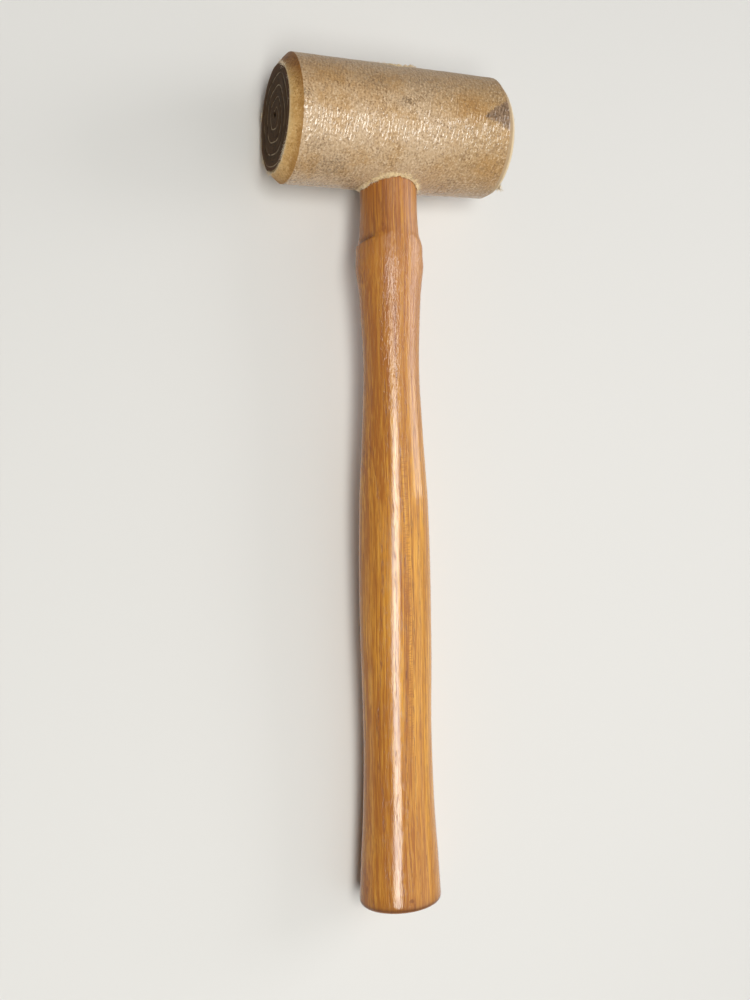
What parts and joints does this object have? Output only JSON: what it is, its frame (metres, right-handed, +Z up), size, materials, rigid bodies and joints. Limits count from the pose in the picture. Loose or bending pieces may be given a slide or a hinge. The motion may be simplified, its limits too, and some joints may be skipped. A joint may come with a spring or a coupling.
{
  "type": "rawhide mallet",
  "caption": "Rawhide mallet: a rolled and turned hide cylinder with chamfered striking faces, wedged on a varnished oval wooden handle, for blows that leave no mark.",
  "frame": {"origin": "on the bench, under the middle of the bounding box", "axes": "+X along the head towards the right-hand face in the picture, +Y along the mallet from the butt to the head, +Z up from the bench that it lies on"},
  "size_m": [0.0856, 0.311, 0.0444],
  "materials": {
    "rawhide": "satin, varnished hide grain",
    "hickory": "clear gloss varnish",
    "wedge_wood": "sawn end grain",
    "wedge_steel": "cast, dull",
    "brad_steel": "drawn wire"
  },
  "bodies": {
    "root": {"rawhide_roll": "rawhide", "handle": "hickory", "kerf_wedge": "wedge_wood", "steel_wedge": "wedge_steel", "lap_brad_1": "brad_steel", "lap_brad_2": "brad_steel", "lap_brad_3": "brad_steel", "lap_brad_4": "brad_steel"}
  },
  "joints": []
}
